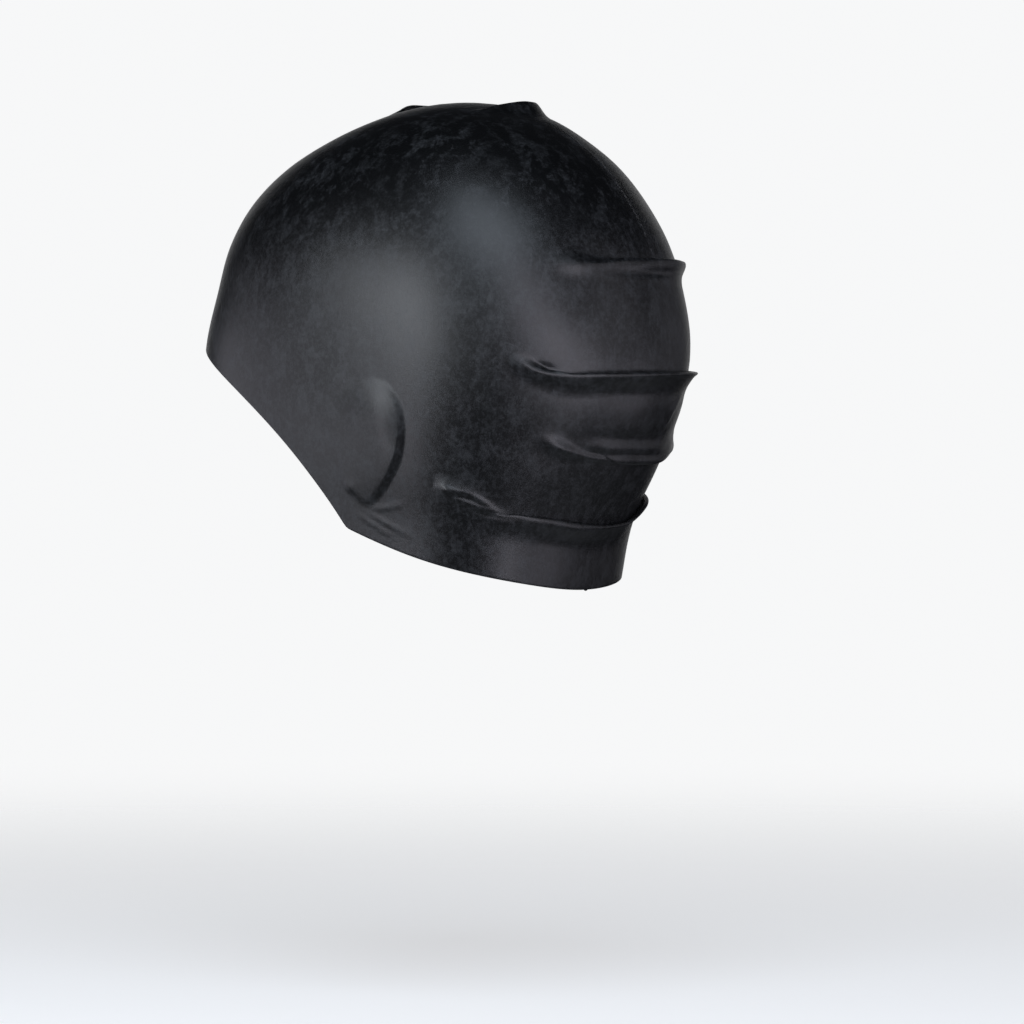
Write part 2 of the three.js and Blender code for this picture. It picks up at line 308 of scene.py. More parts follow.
def outer_rows(bearing):
    """Flat steps, steps and heights of all outer rows, from below the crown to the rim."""
    rim = step_at(rim_drop(bearing))
    above = np.zeros_like(bearing)
    flats, steps, outs = [], [], []
    for count, band in zip(PLAIN_ROWS, BANDS + [None]):
        flat, step, out = band_rows(band, bearing) if band else (rim[None], rim[None], 0 * rim[None])
        share = (np.arange(1, count + 1) / (count + 1))[:, None]
        plain = mix(above, flat[0], share)
        flats += [plain, flat]
        steps += [plain, step]
        outs += [0 * plain, out]
        above = flat[-1]
    flats, steps, outs = (np.concatenate(rows) for rows in (flats, steps, outs))
    crown = PLAIN_ROWS[0] + FOLD_ROWS
    share = (np.arange(len(steps) - crown) + 1)[:, None] / (len(steps) - crown)
    even = mix(steps[crown - 1], rim, share)
    plain = between(np.abs(bearing), *EVEN_ROWS_FROM)
    flats[crown:] = mix(flats[crown:], even, plain)
    steps[crown:] = mix(steps[crown:], even, plain)
    return flats, steps, outs


# Low relief that is drawn over the surface: ridges where the rubber is pulled
# tight, and grooves where it dips. Each row of a stroke is a bearing, a drop, a
# height, and the widths on its left and right as it is followed, seen from
# outside. Both is true for a stroke that the other side of the head has too.
STROKES = {
    "fold_1_start": {
        "both": True,
        "rows": [
            (40.0, 65.2, 0.0, 3.2, 3.2), (36.8, 65.5, 0.25, 3.4, 3.4), (33.4, 65.9, 0.85, 3.4, 3.6),
            (30.0, 66.1, 1.35, 3.0, 3.3), (26.4, 66.0, 1.10, 2.3, 2.5), (21.0, 65.7, 0.45, 1.6, 1.8),
            (12.0, 65.4, 0.20, 1.4, 1.5), (2.0, 65.2, 0.0, 1.4, 1.5),
        ],
    },
    "fold_1_pocket": {
        "both": True,
        "rows": [
            (24.0, 69.0, 0.0, 1.3, 1.6), (18.0, 69.0, -0.40, 1.4, 1.7), (8.0, 68.9, -0.60, 1.4, 1.8),
            (-2.0, 68.8, -0.55, 1.4, 1.8), (-12.0, 68.8, 0.0, 1.4, 1.7),
        ],
    },
    "fold_2_start": {
        "both": True,
        "rows": [
            (51.0, 103.0, 0.0, 2.8, 3.0), (48.6, 104.2, 0.40, 2.8, 3.0), (46.4, 105.8, 0.85, 2.6, 2.8),
            (43.8, 107.6, 0.90, 2.2, 2.7), (41.0, 109.0, 0.70, 1.9, 2.5), (37.6, 109.9, 0.45, 1.7, 2.3),
            (32.0, 110.5, 0.20, 1.7, 2.2), (25.0, 110.8, 0.0, 1.7, 2.2),
        ],
    },
    "fold_2_slit": {
        "both": True,
        "rows": [
            (44.0, 104.2, 0.0, 0.9, 0.9), (42.4, 105.3, -0.40, 0.9, 0.9), (40.8, 106.4, -0.65, 0.9, 0.9),
            (38.8, 107.4, -0.50, 0.8, 0.8), (36.5, 108.2, 0.0, 0.8, 0.8),
        ],
    },
    "fold_2_dent": {
        "both": True,
        "rows": [
            (30.0, 115.0, 0.0, 3.4, 3.6), (23.0, 115.8, -0.3, 3.6, 3.8), (14.0, 116.8, -0.6, 3.6, 4.0),
            (5.0, 116.2, -0.35, 3.6, 4.0), (-4.0, 115.4, 0.0, 3.6, 4.0),
        ],
    },
    "fold_3_hollow": {
        "both": False,
        "rows": [
            (30.0, 132.6, 0.0, 3.0, 2.2), (22.0, 133.8, -0.30, 2.8, 2.4), (10.0, 134.6, -0.60, 2.8, 2.4),
            (-2.0, 134.4, -0.60, 2.8, 2.4), (-12.0, 132.0, 0.0, 2.6, 2.0),
        ],
    },
    "fold_3_start": {
        "both": True,
        "rows": [
            (42.6, 133.4, 0.0, 2.8, 2.4), (39.4, 135.0, 0.45, 2.9, 2.2), (36.2, 136.9, 1.20, 2.8, 2.0),
            (33.0, 138.4, 1.20, 2.5, 1.8), (29.8, 139.5, 0.80, 2.0, 1.6), (26.4, 140.6, 0.65, 1.6, 1.4),
            (22.0, 141.6, 0.55, 1.4, 1.3), (15.0, 142.6, 0.40, 1.3, 1.3), (6.0, 143.1, 0.20, 1.3, 1.3),
            (-5.0, 143.4, 0.0, 1.3, 1.3),
        ],
    },
    "fold_3_ridge": {
        "both": True,
        "rows": [
            (30.0, 136.8, 0.0, 1.5, 1.3), (24.0, 137.2, 0.12, 1.5, 1.2), (14.0, 137.5, 0.14, 1.5, 1.2),
            (2.0, 137.4, 0.14, 1.5, 1.2), (-8.0, 137.0, 0.12, 1.5, 1.2), (-18.0, 136.0, 0.0, 1.4, 1.2),
        ],
    },
    "fold_3_groove": {
        "both": True,
        "rows": [
            (26.0, 139.4, 0.0, 1.1, 1.0), (20.0, 139.9, -0.22, 1.2, 1.1), (11.0, 140.3, -0.40, 1.2, 1.1),
            (0.0, 140.3, -0.45, 1.2, 1.1), (-12.0, 139.6, 0.0, 1.2, 1.1),
        ],
    },
    "fold_4_start": {
        "both": True,
        "rows": [
            (71.4, 151.6, 0.0, 2.4, 2.2), (69.6, 152.4, 0.65, 2.4, 2.2), (67.4, 153.5, 1.60, 2.2, 1.8),
            (65.0, 154.2, 1.35, 1.9, 1.5), (62.0, 154.9, 0.85, 1.6, 1.3), (59.0, 156.7, 0.75, 1.5, 1.2),
            (56.0, 159.0, 0.55, 1.4, 1.2), (52.0, 161.6, 0.0, 1.4, 1.2),
        ],
    },
    "fold_4_underline": {
        "both": True,
        "rows": [
            (70.6, 154.6, 0.0, 1.3, 1.6), (68.6, 155.6, 0.35, 1.4, 1.6), (66.0, 157.0, 0.80, 1.4, 1.6),
            (63.0, 158.2, 0.95, 1.4, 1.6), (60.0, 159.4, 0.90, 1.4, 1.6), (56.6, 160.9, 0.70, 1.3, 1.6),
            (53.0, 162.0, 0.35, 1.2, 1.6), (48.0, 163.6, 0.0, 1.2, 1.6),
        ],
    },
    "fold_4_wrinkle": {
        "both": True,
        "rows": [
            (65.0, 159.6, 0.0, 0.8, 0.9), (61.0, 162.2, 0.16, 0.7, 0.9), (55.6, 164.6, 0.18, 0.7, 0.9),
            (50.0, 166.1, 0.12, 0.7, 0.9), (44.0, 167.2, 0.0, 0.7, 0.9),
        ],
    },
    "tension_below_fold_2": {
        "both": False,
        "rows": [
            (-17.5, 115.4, 0.0, 2.0, 1.6), (-13.6, 118.6, 0.35, 2.0, 1.5), (-10.2, 122.6, 0.45, 2.0, 1.5),
            (-8.8, 127.4, 0.40, 2.0, 1.5), (-6.4, 131.6, 0.30, 1.9, 1.5), (-2.6, 134.6, 0.0, 1.9, 1.5),
        ],
    },
    "corner_1": {
        "both": True,
        "rows": [
            (94.0, 160.8, 0.0, 0.8, 0.8), (90.4, 161.2, 0.25, 0.8, 0.7), (86.5, 160.6, 0.22, 0.8, 0.7),
            (81.0, 159.0, 0.0, 0.8, 0.8),
        ],
    },
    "corner_2": {
        "both": True,
        "rows": [
            (96.5, 162.6, 0.0, 0.9, 0.7), (91.0, 165.6, 0.32, 0.9, 0.7), (85.0, 169.0, 0.24, 0.9, 0.8),
            (79.0, 172.6, 0.0, 0.9, 0.8),
        ],
    },
    "corner_3": {
        "both": True,
        "rows": [
            (100.0, 163.0, 0.0, 0.8, 0.6), (95.4, 166.2, 0.30, 0.8, 0.6), (90.0, 170.0, 0.26, 0.8, 0.6),
            (86.0, 172.4, 0.0, 0.8, 0.6),
        ],
    },
}

# Places along a stroke, and how many of its widths away it still counts
STROKE_SAMPLES = 90
STROKE_REACH = 3

# On the other side the strokes are lower, and those behind a bearing lie nearer
# to the nape
OTHER_SIDE = {"behind": 60, "bearing": 0.93, "height": 0.9}

# The ear under the rubber. Its edge is given by turns from straight up towards
# the nape and reaches from its middle. From the edge inwards the rubber rises
# partly over a wide ramp, by the ramp share, and partly over a narrow step. Its
# height is a share by the place along the ear, back towards the nape, times the
# height by the drop, and a small mound at the lobe is added. Across the step the
# rubber rises as a power of the way.
EAR_MIDDLE = {"back": -4.0, "drop": 135.0}
EAR_EDGE_COLUMNS = ("turn", "reach", "ramp_share", "ramp_width", "step_width")
EAR_EDGE = [
    (-60, 21.0, 1.00, 16.0, 4.0),
    (-30, 21.4, 1.00, 16.0, 4.0),
    (-16, 22.0, 1.00, 14.0, 4.0),
    (2, 24.4, 1.00, 16.0, 3.0),
    (22, 25.0, 0.98, 15.0, 2.2),
    (42, 22.5, 0.93, 14.0, 2.2),
    (66, 18.9, 0.82, 13.0, 2.4),
    (90, 16.8, 0.60, 11.0, 2.5),
    (105, 16.4, 0.35, 8.0, 2.5),
    (119, 16.5, 0.20, 6.0, 2.4),
    (137, 17.2, 0.15, 6.0, 2.4),
    (153, 19.0, 0.15, 6.0, 2.4),
    (168, 21.8, 0.20, 6.0, 2.4),
    (186, 25.6, 0.40, 8.0, 2.6),
    (202, 23.8, 0.40, 8.0, 2.8),
    (224, 20.3, 0.40, 8.0, 3.0),
    (242, 18.4, 0.70, 10.0, 4.0),
    (262, 18.6, 1.00, 14.0, 5.0),
    (300, 21.0, 1.00, 16.0, 4.0),
]
STEP_POWER = 1.7
EAR_BY_BACK = [(-32, 0.0), (-24, 0.09), (-16, 0.30), (-9, 0.54), (-4, 0.82), (1, 0.97), (6, 1.0), (20, 1.0)]
EAR_BY_DROP = [
    (104, 1.1), (112, 1.4), (119, 1.8), (127, 2.0), (135, 1.9), (143, 1.7), (151, 1.4), (158, 1.0),
    (166, 0.6),
]
LOBE = {"back": -14.6, "drop": 153.6, "height": 0.8, "reach": 3.4}

# The mould's flash line up the middle of the back, and the tag at the nape. The
# line starts and ends at two drops, and fades in and out over two more.
FLASH_HEIGHT = 0.07
FLASH_WIDTH = 0.22
FLASH_ENDS = (8, 120)
FLASH_FADES = (6, 60)
TAG_LENGTH = 0.45
TAG_WIDTH = 1.0


def stroke_height(points, rows):
    """How far one stroke lifts each point of the surface along its normal."""
    rows = np.array(rows, float)
    knots = np.arange(len(rows))
    at = np.linspace(0, len(rows) - 1, STROKE_SAMPLES)
    bearing, drop, height, left, right = (curve(knots, column, at) for column in rows.T)
    spine = dome_point(step_at(drop), bearing)
    ahead = np.gradient(spine, axis=0)
    spacing = np.linalg.norm(ahead, axis=1)
    ahead /= spacing[:, None]
    side = np.cross(dome_normal(step_at(drop), bearing), ahead)
    reach = STROKE_REACH * max(left.max(), right.max())
    near = np.flatnonzero(((points > spine.min(0) - reach) & (points < spine.max(0) + reach)).all(1))
    lift = np.zeros(len(points))
    if len(near) == 0:
        return lift
    away = points[near, None] - spine[None]
    closest = (away**2).sum(-1).argmin(1)
    away = away[np.arange(len(near)), closest]
    along = (away * ahead[closest]).sum(-1) / spacing[closest]
    place = np.clip(closest + np.clip(along, -1, 1), 0, STROKE_SAMPLES - 1)
    across = (away * side[closest]).sum(-1)
    samples = np.arange(STROKE_SAMPLES)
    width = np.where(across > 0, np.interp(place, samples, left), np.interp(place, samples, right))
    past_end = np.maximum(np.abs(along) - 1, 0) * spacing[closest]
    lift[near] = np.interp(place, samples, height) * bump(np.hypot(across, past_end), width)
    return lift


def on_other_side(rows):
    """A stroke's rows for the wearer's right side, before they are mirrored."""
    others = []
    for bearing, drop, height, left, right in rows:
        turned = bearing * OTHER_SIDE["bearing"] if bearing < OTHER_SIDE["behind"] else bearing
        others.append((turned, drop, height * OTHER_SIDE["height"], left, right))
    return others


def relief(points):
    """The height of all strokes at the points of the bare dome."""
    flat = points.reshape(-1, 3)
    mirrored = flat * (-1, 1, 1)
    lift = np.zeros(len(flat))
    for stroke in STROKES.values():
        lift += stroke_height(flat, stroke["rows"])
        if stroke["both"]:
            lift += stroke_height(mirrored, on_other_side(stroke["rows"]))
    return lift.reshape(points.shape[:-1])


def ear_height(points):
    """The ears: a mound that rises from the ear's edge over a ramp and a step."""
    back, drop = points[..., 1], WALL - points[..., 2]
    behind, above = back - EAR_MIDDLE["back"], EAR_MIDDLE["drop"] - drop
    columns = dict(zip(EAR_EDGE_COLUMNS, zip(*EAR_EDGE)))
    first = columns["turn"][0]
    turn = (np.degrees(np.arctan2(behind, above)) - first) % 360 + first
    edge = {name: curve(columns["turn"], values, turn) for name, values in columns.items()}
    inside = edge["reach"] - np.hypot(behind, above)
    ramp = 1 - (1 - np.clip(inside / edge["ramp_width"], 0, 1)) ** 2
    step = np.clip(inside / edge["step_width"], 0, 1) ** STEP_POWER
    rise = mix(step, ramp, edge["ramp_share"])
    lobe = LOBE["height"] * bump(np.hypot(back - LOBE["back"], drop - LOBE["drop"]), LOBE["reach"])
    mound = curve(*zip(*EAR_BY_BACK), back) * curve(*zip(*EAR_BY_DROP), drop) + lobe
    return mound * rise * (np.abs(points[..., 0]) > HALF_WIDTH / 2)


def flash_height(points):
    """The mould's flash line: thin, low, and broken along its length."""
    drop = WALL - points[..., 2]
    long_breaks = 0.5 * np.sin(0.9 * drop) * np.sin(0.37 * drop + 1)
    short_breaks = 0.4 * np.sin(2.3 * drop)
    unbroken = np.clip(0.5 + long_breaks + short_breaks, 0, 1.2)
    height = FLASH_HEIGHT * bump(points[..., 0], FLASH_WIDTH) * unbroken
    present = between(drop, FLASH_ENDS[0], FLASH_ENDS[0] + FLASH_FADES[0])
    present = present * between(drop, FLASH_ENDS[1], FLASH_ENDS[1] - FLASH_FADES[1])
    return height * present * (points[..., 1] > 0)


def column_bearings():
    """Bearings of all columns, closer together where there is more to show."""
    places, density = zip(*COLUMN_DENSITY)
    fine = np.linspace(-180, 180, BEARING_SAMPLES)
    total = np.concatenate([[0], np.cumsum(np.interp(fine[:-1], places, density))])
    bearings = np.interp(np.linspace(0, total[-1], COLUMNS, endpoint=False), total, fine)
    bearings = bearings[np.abs(bearings) > SEAM_CLEARANCE]
    return np.sort(np.concatenate([bearings, SEAM_COLUMNS]))


def outer_face(bearing, edge):
    """Rings of points down to the rounded edge, the rim's height off the dome, and the flat steps."""
    flat, step, out = outer_rows(bearing)
    step, flat = np.minimum(step, edge), np.minimum(flat, edge)
    base = dome_point(step, bearing[None])
    lift = out + relief(base) + ear_height(base) + flash_height(base)
    return base + dome_normal(step, bearing[None]) * lift[..., None], lift, flat


def rounded_edge(bearing, edge, rim, lift):
    """Rings of points round the cut edge of the rubber."""
    rings = []
    for down, inwards in EDGE_ROWS:
        step = mix(edge, rim, down)
        height = lift - inwards * WALL
        rings.append(dome_point(step, bearing) + dome_normal(step, bearing) * height[:, None])
    return np.array(rings)


def inner_face(bearing, flat):
    """Rings of points from the rim up to the crown, smooth where the outer face is folded."""
    pick = np.unique(np.linspace(0, len(flat) - 1, INNER_ROWS).round().astype(int))[::-1]
    base, normal = dome_point(flat[pick], bearing[None]), dome_normal(flat[pick], bearing[None])
    return base + normal * (ear_height(base) - WALL)[..., None]


def closed_faces(count, width):
    """Quads between the rings, and a fan of triangles at each pole, whose points come last."""
    ring, column = np.meshgrid(np.arange(count - 1), np.arange(width), indexing="ij")
    beside = (column + 1) % width
    corners = (ring * width + column, ring * width + beside,
               (ring + 1) * width + beside, (ring + 1) * width + column)
    quads = np.stack(corners, -1).reshape(-1, 4).tolist()
    top = count * width
    last = (count - 1) * width
    around = [(column, (column + 1) % width) for column in range(width)]
    outer_fan = [(top, b, a) for a, b in around]
    inner_fan = [(top + 1, last + a, last + b) for a, b in around]
    return quads + outer_fan + inner_fan


def cap_mesh():
    """Points and faces of the closed shell."""
    bearing = column_bearings()
    tag = TAG_LENGTH * bump(np.radians(bearing) * BACK_REACH, TAG_WIDTH) * (np.abs(bearing) < 90)
    rim = step_at(rim_drop(bearing) + tag)
    edge = rim - EDGE_HEIGHT / step_length(rim, bearing)
    outer, lift, flat = outer_face(bearing, edge)
    rings = np.concatenate([outer, rounded_edge(bearing, edge, rim, lift[-1]), inner_face(bearing, flat)])
    poles = [(0, 0, WALL + lift[0].mean()), (0, 0, 0)]
    points = np.concatenate([rings.reshape(-1, 3), poles])
    return points, closed_faces(*rings.shape[:2])


def make_cap():
    points, faces = cap_mesh()
    mesh = bpy.data.meshes.new("swim_cap")
    mesh.from_pydata((points * MM).tolist(), [], [tuple(face) for face in faces])
    mesh.polygons.foreach_set("use_smooth", np.ones(len(mesh.polygons), bool))
    mesh.update()
    cap = bpy.data.objects.new("swim_cap", mesh)
    bpy.context.scene.collection.objects.link(cap)
    return cap


def add(tree, kind, inputs=None, **settings):
    """A shader node with its settings and inputs. An input is a value or another node's socket."""
    made = tree.nodes.new(kind)
    for name, value in settings.items():
        setattr(made, name, value)
    for name, value in (inputs or {}).items():
        socket = made.inputs[name]
        if isinstance(value, bpy.types.NodeSocket):
            tree.links.new(value, socket)
        else:
            socket.default_value = value
    return made


def maths(tree, operation, a, b):
    return add(tree, "ShaderNodeMath", {0: a, 1: b}, operation=operation).outputs[0]


def value_mix(tree, share, a, b):
    return add(tree, "ShaderNodeMix", {0: share, 2: a, 3: b}, data_type="FLOAT").outputs[0]


def colour_mix(tree, share, a, b):
    return add(tree, "ShaderNodeMix", {0: share, 6: a, 7: b}, data_type="RGBA").outputs[2]


def remap(tree, value, low, high, to_low=0.0, to_high=1.0):
    """The value turned from one range to another, smoothly at both ends."""
    return add(tree, "ShaderNodeMapRange", {
        "Value": value, "From Min": low, "From Max": high, "To Min": to_low, "To Max": to_high,
    }, interpolation_type="SMOOTHSTEP").outputs["Result"]


def noise(tree, vector, size, detail, roughness, distortion):
    """Noise whose main blotches are about the given size, in millimetres."""
    return add(tree, "ShaderNodeTexNoise", {
        "Vector": vector, "Scale": 1 / (size * MM), "Detail": detail,
        "Roughness": roughness, "Distortion": distortion,
    }).outputs["Fac"]


def area(tree, name):
    """A value that the mesh holds at its points."""
    return add(tree, "ShaderNodeAttribute", attribute_name=name).outputs["Fac"]


# Rubber, as linear colours
BLACK = (0.0010, 0.0012, 0.0016, 1)
DUSTY = (0.0400, 0.0430, 0.0470, 1)
SCRATCH = (0.0900, 0.0900, 0.0920, 1)

# The bloom's patterns are noise. Each row is its size in millimetres, detail,
# roughness and distortion, and the noise where there is none and all of it.
PATTERNS = {
    "clouds": (24, 3, 0.60, 0.30, 0.38, 0.62),
    "blotches": (6, 7, 0.72, 0.25, 0.47, 0.60),
    "flecks": (1.9, 5, 0.75, 0.20, 0.42, 0.62),
    "fibres": (0.9, 4, 0.70, 0.30, 0.54, 0.68),
    "streaks": (1.3, 3, 0.60, 0.40, 0.48, 0.68),
    "scratched": (6, 2, 0.50, 0.00, 0.62, 0.74),
    "dots": (1.1, 2, 0.60, 0.00, 0.46, 0.66),
}
GRAIN = (0.5, 2, 0.65, 0.0)

# Hair scratches are thin lines where a noise is near a level
HAIRS = {"noise": (17, 1, 0.4, 1.6), "level": 0.5, "width": 0.0018}

# Patterns that lie along one way: three turns in radians, and a squeeze
LAID = {
    "blotches": ((0.9, 0.5, 0.7), (1, 1, 0.7)),
    "fibres": ((0.7, 0.3, 0.9), (1, 1, 0.16)),
    "streaks": ((0.04, 0.02, 0.0), (1, 1, 0.10)),
}

# How strongly the patterns show in the colour. Where the bloom is brushed into
# patches, they keep the least shares where flecks or clouds are missing.
# Elsewhere it is a fine mottling, which is a sum of three patterns.
BRUSHED_STRENGTH = 0.62
LEAST_FLECKS = 0.30
LEAST_CLOUDS = 0.35
MOTTLING = {"flecks": 0.26, "blotches": 0.24, "fibres": 0.06}
STREAK_STRENGTH = 0.04
HAIR_STRENGTH = 0.55

# The gloss and the fine relief, whose depth is in millimetres
ROUGHNESS = (0.37, 0.42)
RELIEF = {"blotches": 0.12, "flecks": 0.10, "grain": 0.8}
RELIEF_STRENGTH = 0.5
RELIEF_DEPTH = 0.08
RUBBER_IOR = 1.5
SHEEN = {"Sheen Weight": 0.02, "Sheen Roughness": 0.45, "Sheen Tint": (0.75, 0.78, 0.82, 1)}


def rubber_patterns(tree):
    """All patterns by name, each a value from 0 to 1."""
    place = add(tree, "ShaderNodeTexCoord").outputs["Object"]
    made = {}
    for name, (size, detail, roughness, distortion, none, full) in PATTERNS.items():
        vector = place
        if name in LAID:
            turn, squeeze = LAID[name]
            vector = add(tree, "ShaderNodeMapping", {
                "Vector": place, "Rotation": turn, "Scale": squeeze,
            }).outputs["Vector"]
        made[name] = remap(tree, noise(tree, vector, size, detail, roughness, distortion), none, full)
    made["grain"] = noise(tree, place, *GRAIN)
    off = maths(tree, "SUBTRACT", noise(tree, place, *HAIRS["noise"]), HAIRS["level"])
    line = remap(tree, maths(tree, "ABSOLUTE", off, 0.0), HAIRS["width"], 0.0)
    made["hairs"] = maths(tree, "MULTIPLY", line, made["scratched"])
    return made


def weighted_sum(tree, patterns, weights):
    """The sum of the patterns that are named, each times its weight."""
    total = None
    for name, weight in weights.items():
        part = maths(tree, "MULTIPLY", patterns[name], weight)
        total = part if total is None else maths(tree, "ADD", total, part)
    return total


def rubber_colour(tree, patterns):
    """Black under the bloom, with pale hair scratches and a dotted pale flash line."""
    flecks = value_mix(tree, patterns["flecks"], LEAST_FLECKS, 1.0)
    clouds = value_mix(tree, patterns["clouds"], LEAST_CLOUDS, 1.0)
    brushed = maths(tree, "MULTIPLY", maths(tree, "MULTIPLY", patterns["blotches"], flecks), clouds)
    brushed = maths(tree, "MULTIPLY", brushed, BRUSHED_STRENGTH)
    bloom = value_mix(tree, area(tree, "brushed"), weighted_sum(tree, patterns, MOTTLING), brushed)
    streaks = maths(tree, "MULTIPLY", patterns["streaks"], area(tree, "streaked"))
    bloom = maths(tree, "ADD", bloom, maths(tree, "MULTIPLY", streaks, STREAK_STRENGTH))
    colour = colour_mix(tree, bloom, BLACK, DUSTY)
    colour = colour_mix(tree, maths(tree, "MULTIPLY", patterns["hairs"], HAIR_STRENGTH), colour, SCRATCH)
    return colour_mix(tree, maths(tree, "MULTIPLY", area(tree, "flash"), patterns["dots"]), colour, SCRATCH)


def rubber_material():
    """Matt black rubber with a cloudy bloom, fine grain, and pale hair scratches."""
    material = bpy.data.materials.new("black_rubber_bloomed")
    material.use_nodes = True
    tree = material.node_tree
    tree.nodes.clear()
    patterns = rubber_patterns(tree)
    both = value_mix(tree, 0.5, patterns["blotches"], patterns["flecks"])
    fine_relief = add(tree, "ShaderNodeBump", {
        "Height": weighted_sum(tree, patterns, RELIEF),
        "Strength": RELIEF_STRENGTH, "Distance": RELIEF_DEPTH * MM,
    })
    shader = add(tree, "ShaderNodeBsdfPrincipled", {
        "Base Color": rubber_colour(tree, patterns), "Roughness": remap(tree, both, 0, 1, *ROUGHNESS),
        "Normal": fine_relief.outputs["Normal"], "IOR": RUBBER_IOR, **SHEEN,
    })
    output = add(tree, "ShaderNodeOutputMaterial")
    tree.links.new(shader.outputs["BSDF"], output.inputs["Surface"])
    return material


# Where the patterns show, between two bearings or two drops: the bloom is
# brushed into patches over the top and, by a share, over the forehead, and has
# upright streaks at the back. The flash line is pale, more so above two drops.
BRUSHED = {"drops": (62, 34), "forehead": 0.6, "forehead_bearings": (120, 150), "forehead_drops": (84, 60)}
STREAKED = {"bearings": (75, 30), "drops": (30, 60)}
PALE_FLASH = {"width": 0.5, "fade": 8, "least": 0.15, "more": 0.65, "drops": (75, 55)}


def paint_areas(cap):
    """Where the bloom is brushed and streaked and the flash line pale, as values at the mesh's points."""
    co = np.zeros(len(cap.data.vertices) * 3)
    cap.data.vertices.foreach_get("co", co)
    points = co.reshape(-1, 3) / MM
    turn = np.abs(np.degrees(np.arctan2(points[:, 0], points[:, 1])))
    drop = WALL - points[:, 2]
    forehead = between(turn, *BRUSHED["forehead_bearings"]) * between(drop, *BRUSHED["forehead_drops"])
    brushed = np.clip(between(drop, *BRUSHED["drops"]) + BRUSHED["forehead"] * forehead, 0, 1)
    streaked = between(turn, *STREAKED["bearings"]) * between(drop, *STREAKED["drops"])
    flash = bump(points[:, 0], PALE_FLASH["width"]) * (points[:, 1] > 0)
    flash *= between(drop, FLASH_ENDS[0], FLASH_ENDS[0] + PALE_FLASH["fade"])
    flash *= PALE_FLASH["least"] + PALE_FLASH["more"] * between(drop, *PALE_FLASH["drops"])
    for name, values in (("brushed", brushed), ("streaked", streaked), ("flash", flash)):
        cap.data.attributes.new(name, "FLOAT", "POINT").data.foreach_set("value", values.astype(np.float32))


# The photograph's view: the camera's azimuth and elevation, its distance, the
# picture's pixels for each millimetre there, and where the crown shows
VIEW_AZIMUTH = 118
VIEW_ELEVATION = 1
VIEW_DISTANCE = 2200
PICTURE = 1024
PIXELS_PER_MM = 2.5
CROWN_PIXEL = (467, 103)
SENSOR = 36


def direction(azimuth, elevation):
    """The unit vector out from the cap. Azimuth 0 is towards -Y, and 90 towards +X."""
    a, e = math.radians(azimuth), math.radians(elevation)
    return Vector((math.sin(a) * math.cos(e), -math.cos(a) * math.cos(e), math.sin(e)))


def make_camera():
    back = direction(VIEW_AZIMUTH, VIEW_ELEVATION)
    right = direction(VIEW_AZIMUTH + 90, 0)
    up = back.cross(right)
    across = (PICTURE / 2 - CROWN_PIXEL[0]) / PIXELS_PER_MM
    below = (PICTURE / 2 - CROWN_PIXEL[1]) / PIXELS_PER_MM
    target = Vector((0, 0, WALL)) + right * across - up * below
    data = bpy.data.cameras.new("camera")
    data.sensor_width = SENSOR
    data.lens = SENSOR * PIXELS_PER_MM * VIEW_DISTANCE / PICTURE
    data.clip_end = 100
    camera = bpy.data.objects.new("camera", data)
    axes = Matrix((right, up, back)).transposed().to_4x4()
    camera.matrix_world = Matrix.Translation((target + back * VIEW_DISTANCE) * MM) @ axes
    bpy.context.scene.collection.objects.link(camera)
    bpy.context.scene.camera = camera


# Softboxes: azimuth from the camera's, elevation, distance, width, height and
# tilt, in degrees and metres, how bright the cloth is, and its colour
SOFTBOXES = {
    "key": (-44, 9, 1.4, 0.62, 0.44, -28, 7.6, (0.88, 0.93, 1.0)),
    "key_wing": (-66, 17, 1.4, 0.40, 0.34, 0, 2.8, (0.88, 0.93, 1.0)),
    "key_low": (-48, -14, 1.4, 0.26, 0.24, 0, 9.0, (0.92, 0.90, 1.0)),
    "key_fill": (-68, -16, 1.5, 0.50, 0.46, 0, 1.7, (0.90, 0.92, 1.0)),
    "front": (-10, 4, 1.6, 0.55, 0.45, 0, 0.55, (0.88, 0.93, 1.0)),
    "over": (-1, 42, 1.4, 0.98, 0.90, -20, 3.3, (0.78, 0.88, 1.0)),
    "side": (35, -1, 1.4, 1.76, 0.42, -41, 3.9, (0.90, 0.88, 1.0)),
    "side_spot": (28, -3, 1.3, 0.32, 0.30, 0, 2.2, (0.90, 0.88, 1.0)),
    "front_low": (-100, -8, 1.5, 1.60, 0.90, 0, 1.15, (0.90, 0.89, 1.0)),
    "right_low": (84, -18, 1.5, 1.20, 0.46, 0, 1.3, (0.90, 0.87, 1.0)),
    "right": (72, 12, 1.6, 1.20, 0.95, 0, 0.65, (0.92, 0.90, 1.0)),
    "right_far": (118, 2, 1.6, 1.30, 0.80, 0, 0.22, (0.92, 0.90, 1.0)),
    "far": (180, 6, 1.6, 1.60, 0.90, 0, 0.65, (1.0, 1.0, 1.0)),
}
CAP_MIDDLE = Vector((0, -0.005, -0.095))


def make_softboxes():
    for name, (turn, elevation, distance, width, height, tilt, brightness, colour) in SOFTBOXES.items():
        data = bpy.data.lights.new(name, "AREA")
        data.shape = "RECTANGLE"
        data.size, data.size_y = width, height
        data.energy = brightness * math.pi * width * height
        data.color = colour
        light = bpy.data.objects.new(name, data)
        out = direction(VIEW_AZIMUTH + turn, elevation)
        aim = out.to_track_quat("Z", "Y").to_matrix().to_4x4()
        light.matrix_world = (Matrix.Translation(CAP_MIDDLE + out * distance) @ aim
                              @ Matrix.Rotation(math.radians(tilt), 4, "Z"))
        light.visible_camera = False
        bpy.context.scene.collection.objects.link(light)


